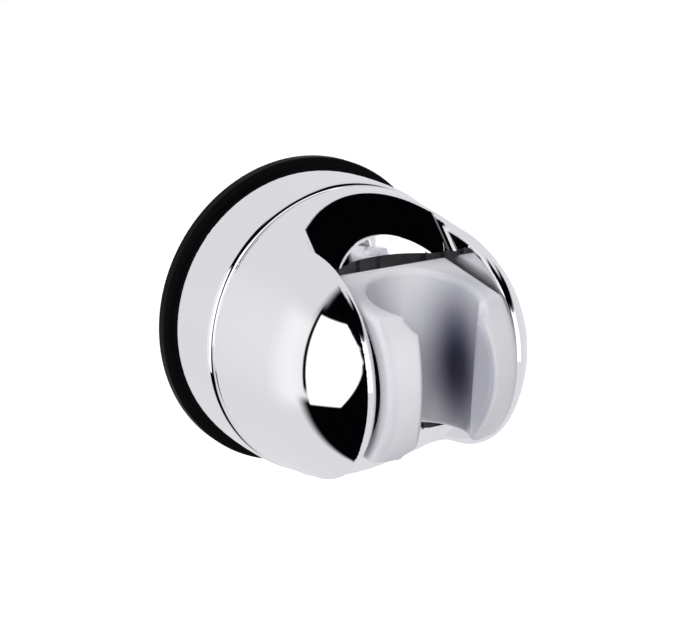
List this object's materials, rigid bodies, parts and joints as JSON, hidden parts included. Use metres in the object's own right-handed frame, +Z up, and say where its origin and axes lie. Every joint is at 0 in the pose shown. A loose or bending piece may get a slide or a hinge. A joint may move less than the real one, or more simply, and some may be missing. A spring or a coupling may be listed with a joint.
{
  "type": "hand shower holder",
  "caption": "Wall holder for a hand shower: chromed dome on a round collar with a rubber wall seal, and a grey tapered cradle, open at the front, that tilts in the dome's slot.",
  "frame": {"origin": "centre of the wall face", "axes": "+Y into the wall, so the holder points to -Y; +Z up; +X to the right when seen from the front"},
  "size_m": [0.0754, 0.0656, 0.0754],
  "materials": {
    "seal_rubber": "satin",
    "plate_plastic": "matte",
    "chrome": "polished",
    "screw_steel": "satin",
    "cradle_plastic": "satin",
    "carrier_plastic": "matte",
    "pad_rubber": "matte"
  },
  "bodies": {
    "wall_bracket": {"wall_seal": "seal_rubber", "wall_plate": "plate_plastic", "base_collar": "chrome", "grub_screw": "screw_steel", "dome_housing": "chrome", "pivot_carrier": "carrier_plastic", "body_screws": "screw_steel", "pivot_pin_left": "screw_steel", "pivot_pin_right": "screw_steel", "spring_washer_left": "screw_steel", "spring_washer_right": "screw_steel"},
    "tilting_cradle": {"cradle": "cradle_plastic", "friction_pad_left": "pad_rubber", "friction_pad_right": "pad_rubber"}
  },
  "joints": [
    {"name": "cradle_tilt", "type": "hinge", "parent": "wall_bracket", "child": "tilting_cradle", "pos_m": [0, -0.0436, 0], "axis": [1, 0, 0], "range_deg": [-20, 30]}
  ]
}
